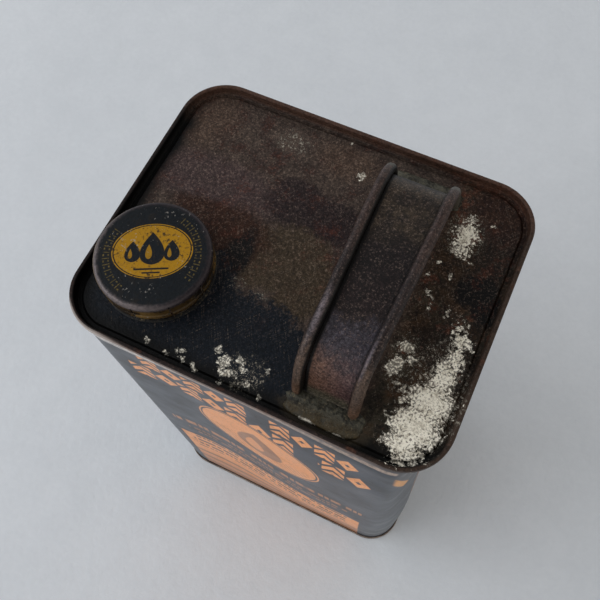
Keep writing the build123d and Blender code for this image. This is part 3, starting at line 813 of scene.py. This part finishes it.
def make_wall(material):
    """Body wall as one closed sheet between the two double seams."""
    ring = outline(WALL_DEPTH)
    low, rows = 0.6, 84
    shell = []
    for inside in (0, 1):
        for row in range(rows + 1):
            level = low + (HEIGHT - 2 * low) * (row if not inside else rows - row) / rows
            for spot, out in ring:
                point = spot + Vector((0, 0, level))
                dent = 0.05 * noise.noise(point / 17) * smooth_step(min(level, HEIGHT - level), 6, 20)
                shell.append(point + swelling(point, out) + out * (dent - inside * PLATE))
    faces = grid_faces(2 * (rows + 1), len(ring), True, True)
    return make_piece("body_wall", shell, faces, material, "can", "litho_tinplate", "body_sheet")


def make_side_seam(material):
    """Soldered groove of the lock seam: a slim uneven bead up the middle of the left wall."""
    low, high = box_mm("side_seam_solder")
    middle, half = (low.y + high.y) / 2, 0.75
    rows, around = 160, 10
    points = []
    for row in range(rows + 1):
        level = low.z + (high.z - low.z) * row / rows
        swell = 1 + 0.35 * noise.noise(Vector((level / 6, 0, 3)))
        for k in range(around):
            a = math.tau * k / around
            points.append(Vector((low.x + 0.06 - 0.16 * swell * math.cos(a),
                                  middle + half * swell * math.sin(a), level)))
    faces = grid_faces(rows + 1, around, False, True)
    faces += [tuple(reversed(range(around))), tuple(range(rows * around, (rows + 1) * around))]
    return make_piece("side_seam_bead", points, faces, material, "can", "solder", "side_seam_solder")


def arch_path(foot, bend, rise, radius, low, steps=10, spacing=2.2):
    """Side view of the handle about its middle: places and directions, from front foot to rear."""
    lean = math.atan2(rise, foot - bend)
    reach = radius * math.tan(lean / 2)
    start = Vector((-foot + low / math.tan(lean), low))
    corner = Vector((-bend, rise))
    into = Vector((math.cos(lean), math.sin(lean)))
    first = corner - into * reach
    centre = first + Vector((into.y, -into.x)) * radius
    found = []
    count = round((first - start).length / spacing)
    for i in range(count):
        found.append((start + (first - start) * i / count, lean))
    for i in range(steps + 1):
        a = lean * (1 - i / steps)
        found.append((centre + Vector((-math.sin(a), math.cos(a))) * radius, a))
    last = found[-1][0]
    count = round(-last.x / spacing)
    found += [(last + Vector((-last.x, 0)) * i / count, 0.0) for i in range(1, count)]
    mirrored = [(Vector((-p.x, p.y)), -a) for p, a in reversed(found)]
    return found + [(Vector((0, rise)), 0.0)] + mirrored


def make_handle(material):
    """Arched strap, wider at its rear foot, with both edges rolled into beads and a tab at each foot."""
    rise = STRAP_HIGH.z - PANEL - 2 * BEAD_RADIUS + STRAP_PLATE / 2
    path = arch_path(HANDLE_FOOT, HANDLE_BEND, rise, HANDLE_BEND_RADIUS, HANDLE_LOW)
    points, faces = [], []

    def place(spot, angle, across, out):
        along, up = spot.x - math.sin(angle) * out, spot.y + math.cos(angle) * out
        return Vector((HANDLE_X + across, HANDLE_Y + along, PANEL + up))

    def half_width(spot):
        return BEAD_FRONT + (BEAD_REAR - BEAD_FRONT) * smooth_step(spot.x, TAPER_FRONT, TAPER_REAR)

    def wobble(spot, seed):
        return WOBBLE * noise.noise(Vector((spot.x / 9, spot.y / 9, seed)))

    # Web: a thin closed strip with a soft ripple, ending in flat tabs
    strips = 10
    tab = [(Vector((-station, TAB_LIFT)), 0.0) for station in TAB_STATIONS]
    tab_rear = [(Vector((-p.x, p.y)), 0.0) for p, a in reversed(tab)]
    for spot, angle in tab + path + tab_rear:
        for face, steps in ((1, range(strips + 1)), (-1, reversed(range(strips + 1)))):
            for k in steps:
                across = half_width(spot) * (2 * k / strips - 1)
                ripple = RIPPLE * noise.noise(Vector((spot.x / 7, k / 3, 5)))
                points.append(place(spot, angle, across, face * STRAP_PLATE / 2 + ripple))
    columns = 2 * (strips + 1)
    count = len(path) + 2 * len(tab)
    faces += [tuple(reversed(f)) for f in grid_faces(count, columns, False, True)]
    faces.append(tuple(range(columns)))
    faces.append(tuple(reversed(range((count - 1) * columns, count * columns))))

    # Beads: open curls of the same sheet, closed to rounded ends at the feet
    around, end_steps = 22, 2
    for side in (1, -1):
        start = len(points)
        for number, (spot, angle) in enumerate(path):
            from_end = min(number, len(path) - 1 - number)
            round_off = math.sqrt(1 - (1 - min((from_end + 0.35) / end_steps, 1)) ** 2)
            centre = half_width(spot) + wobble(spot, side)
            ring = []
            for radius, sweep in ((BEAD_RADIUS, 1), (BEAD_RADIUS - STRAP_PLATE, -1)):
                for k in range(around + 1):
                    a = math.radians(-90 + BEAD_CURL * (k if sweep > 0 else around - k) / around)
                    across = side * (centre + math.cos(a) * radius * round_off)
                    out = BEAD_RADIUS - STRAP_PLATE / 2 + math.sin(a) * radius * round_off
                    ring.append(place(spot, angle, across, out))
            points += ring
        columns = 2 * (around + 1)
        made = grid_faces(len(path), columns, False, True, start)
        made.append(tuple(reversed(range(start, start + columns))))
        made.append(tuple(range(start + (len(path) - 1) * columns, start + len(path) * columns)))
        faces += [tuple(reversed(f)) for f in made] if side > 0 else made
    return make_piece("strap_handle", points, faces, material, "can", "handle_tinplate", "handle_strap")


def make_puddle(name, node, x, y, half_x, half_y, tall, seed, material):
    """Lumpy puddle of solder over a foot of the handle, with a wandering outline."""
    around, rings = 72, 12
    points = [Vector((x, y, PANEL + tall))]
    for ring in range(1, rings + 1):
        t = ring / rings
        for k in range(around):
            a = math.tau * k / around
            c, s = math.cos(a), math.sin(a)
            reach = (abs(c) ** 4 + abs(s) ** 4) ** -0.25
            edge = Vector((c * 2.1, s * 2.1, seed))
            reach *= 1 + 0.07 * noise.noise(edge) + 0.05 * noise.noise(edge * 3)
            spot = Vector((x + half_x * reach * c * t, y + half_y * reach * s * t, 0))
            lump = 0.35 * noise.noise(Vector((spot.x / 3.2, spot.y / 3.2, seed + 4)))
            spot.z = PANEL - 0.02 + (tall + lump) * (1 - t ** 3) ** 0.7
            points.append(spot)
    faces = [(0, 1 + k, 1 + (k + 1) % around) for k in range(around)]
    for ring in range(rings - 1):
        for k in range(around):
            a, b = 1 + ring * around + k, 1 + ring * around + (k + 1) % around
            faces.append((a, a + around, b + around, b))
    faces.append(tuple(reversed(range(1 + (rings - 1) * around, 1 + rings * around))))
    return make_piece(name, points, faces, material, "can", "solder", node)


def add_sky():
    """Soft surround: dimmer overhead than at the sides, cooler on the left than on the right."""
    world = bpy.data.worlds.new("surround")
    world.use_nodes = True
    tree = world.node_tree
    axes = tree.nodes.new("ShaderNodeSeparateXYZ")
    tree.links.new(tree.nodes.new("ShaderNodeTexCoord").outputs["Generated"], axes.inputs[0])
    across, up = Value(tree, axes.outputs[0]), Value(tree, axes.outputs[2])
    mix = tree.nodes.new("ShaderNodeMix")
    mix.data_type = "RGBA"
    wire(tree, mix.inputs[0], across.step(-0.8, 0.8))
    wire(tree, mix.inputs[6], SKY_LEFT)
    wire(tree, mix.inputs[7], SKY_RIGHT)
    background = tree.nodes["Background"]
    tree.links.new(mix.outputs[2], background.inputs["Color"])
    wire(tree, background.inputs["Strength"], SKY_SIDES + (SKY_OVERHEAD - SKY_SIDES) * up.step(0.55, 0.95))
    bpy.context.scene.world = world


def add_stage():
    add_sky()
    add_light("key", KEY_PLACE, KEY_AIM, KEY_SIZE, KEY_POWER, KEY_COLOUR)
    mesh = bpy.data.meshes.new("floor")
    corners = [(x * FLOOR_HALF, y * FLOOR_HALF, 0) for x, y in ((-1, -1), (1, -1), (1, 1), (-1, 1))]
    mesh.from_pydata(corners, [], [(0, 1, 2, 3)])
    floor = bpy.data.objects.new("floor", mesh)
    bpy.context.collection.objects.link(floor)
    floor.data.materials.append(floor_skin())


def dress(names, material):
    for name in names:
        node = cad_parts[name]
        for slot in node.material_slots:
            slot.material = material


add_camera()
add_stage()
bpy.context.scene.view_settings.view_transform = "Standard"

top_material = worn_top()
wall_material = litho()
solder_material = solder_skin("solder")

make_wall(wall_material)
make_side_seam(solder_material)
make_handle(strap_metal())
make_puddle("front_foot_solder", "handle_front_solder",
            x=HANDLE_X + 1, y=-49.4, half_x=14.2, half_y=5.2, tall=1.15, seed=1.0, material=solder_material)
make_puddle("rear_foot_solder", "handle_rear_solder",
            x=HANDLE_X, y=44.6, half_x=14.6, half_y=5.0, tall=1.5, seed=7.0, material=solder_material)

dress(["top_panel"], top_material)
dress(["bottom_panel"], worn_bottom())
dress(["cap_shell"], cap_print())
dress(["cap_cork"], cork_skin())
dress(["cap_cork_facing"],
      plain_metal("foil", tone(176, 172, 164), tone(128, 118, 104), roughness=0.32, metallic=0.8, size=3))
dress(["neck"],
      plain_metal("neck_tinplate", tone(128, 122, 114), tone(74, 56, 44), roughness=0.36, metallic=0.7))
dress(["neck_solder"], solder_skin("stained_solder", tone(22, 22, 22), tone(8, 8, 8)))
dress(["top_seam_compound", "bottom_seam_compound"],
      plain_metal("seam_compound", tone(46, 40, 36), tone(22, 18, 16), roughness=0.7, metallic=0.0, size=3))
